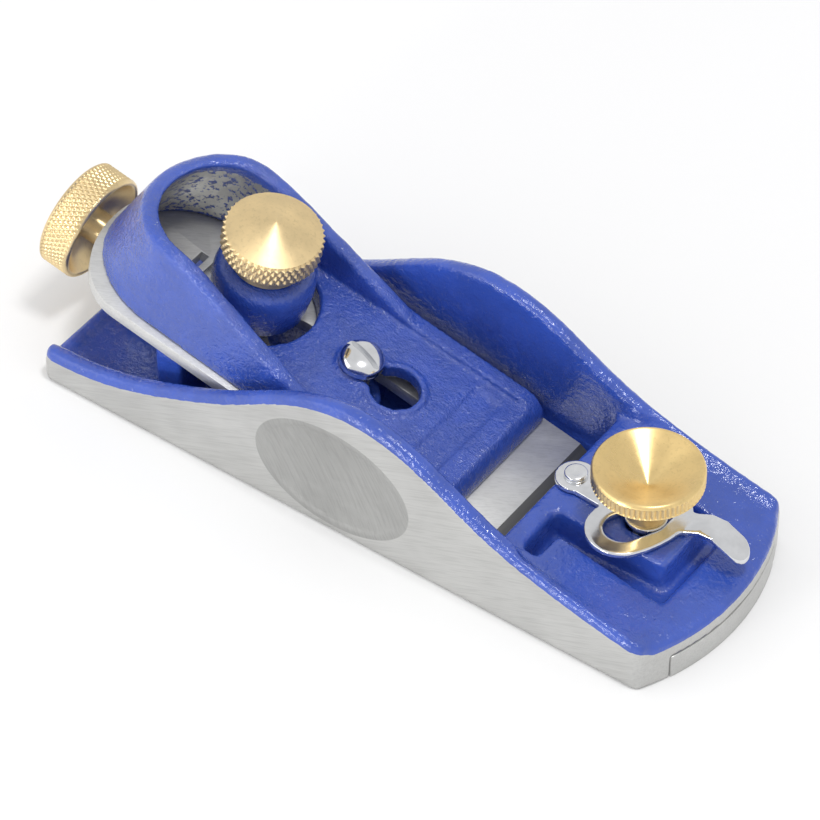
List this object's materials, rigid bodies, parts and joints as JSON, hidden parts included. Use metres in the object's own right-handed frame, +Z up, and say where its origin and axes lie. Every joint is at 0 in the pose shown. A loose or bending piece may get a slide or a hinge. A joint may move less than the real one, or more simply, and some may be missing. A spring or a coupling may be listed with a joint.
{
  "type": "hand plane",
  "caption": "Low-angle block plane with painted casting, hooded lever cap, brass knobs, sliding toe plate with throat lever, and a rear screw depth adjuster.",
  "frame": {"origin": "middle of the sole, on the sole's flat face", "axes": "+X to the toe, +Y to the left side seen from behind, +Z up; the iron's bed falls towards +X"},
  "size_m": [0.1742, 0.053, 0.05],
  "materials": {
    "blue_enamel": "gloss enamel over cast iron",
    "ground_iron": "surface ground",
    "tool_steel": "ground",
    "plated_steel": "bright plated",
    "brass": "satin turned, knurled"
  },
  "bodies": {
    "casting": {"body_casting": "blue_enamel", "throat_lever_peg": "plated_steel", "lever_cap": "blue_enamel", "adjuster_post": "plated_steel"},
    "toe": {"toe_plate": "ground_iron", "front_knob_stud": "plated_steel", "front_knob_washer": "plated_steel"},
    "front_knob": {"front_knob": "brass"},
    "lever": {"throat_lever": "plated_steel"},
    "adjuster": {"adjuster_block": "plated_steel"},
    "depth_screw": {"depth_knob": "brass", "depth_spindle": "plated_steel", "spindle_ring": "plated_steel", "spindle_spacer": "brass"},
    "iron": {"plane_iron": "tool_steel", "adjuster_nut": "plated_steel", "adjuster_peg": "tool_steel"},
    "clamp_foot": {"pressure_pad": "plated_steel"},
    "clamp_knob": {"lever_cap_knob": "brass", "lever_cap_knob_screw": "plated_steel"},
    "cap_screw": {"lever_cap_screw": "plated_steel"}
  },
  "joints": [
    {"name": "throat_lever_swing", "type": "hinge", "parent": "casting", "child": "lever", "pos_m": [0.0391, 0.0014, 0.0182], "axis": [0, 0, 1], "range_deg": [-8, 18]},
    {"name": "toe_slide", "type": "slide", "parent": "casting", "child": "toe", "axis": [1, 0, 0], "range_m": [-0.00106, 0.00047]},
    {"name": "front_knob_turn", "type": "hinge", "parent": "toe", "child": "front_knob", "pos_m": [0.0574, 0, 0.025], "axis": [0, 0, 1], "range_deg": [-90, 270]},
    {"name": "lateral_swing", "type": "hinge", "parent": "casting", "child": "adjuster", "pos_m": [-0.06999, 0, 0.01381], "axis": [0.2079, 0, 0.9781], "range_deg": [-0.5, 0.5]},
    {"name": "depth_turn", "type": "hinge", "parent": "adjuster", "child": "depth_screw", "pos_m": [-0.07979, 0, 0.02059], "axis": [0.9781, 0, -0.2079], "range_deg": [-360.1, 1944.1]},
    {"name": "iron_feed", "type": "slide", "parent": "adjuster", "child": "iron", "axis": [0.9781, 0, -0.2079], "range_m": [-0.001, 0.0054]},
    {"name": "clamp_turn", "type": "hinge", "parent": "clamp_foot", "child": "clamp_knob", "pos_m": [-0.03923, 0, 0.03488], "axis": [0.2079, 0, 0.9781], "range_deg": [0, 540.1]},
    {"name": "clamp_lift", "type": "slide", "parent": "casting", "child": "clamp_foot", "axis": [0.2079, 0, 0.9781], "range_m": [0, 0.0015]},
    {"name": "cap_screw_turn", "type": "hinge", "parent": "casting", "child": "cap_screw", "pos_m": [-0.01553, 0, 0.01655], "axis": [0.2079, 0, 0.9781], "range_deg": [-180, 180]}
  ],
  "couplings": [
    {"joint": "throat_lever_swing", "follows": "toe_slide", "rad_per_m": -294.12},
    {"joint": "depth_turn", "follows": "iron_feed", "rad_per_m": 6283.2},
    {"joint": "clamp_turn", "follows": "clamp_lift", "rad_per_m": 6283.2}
  ]
}
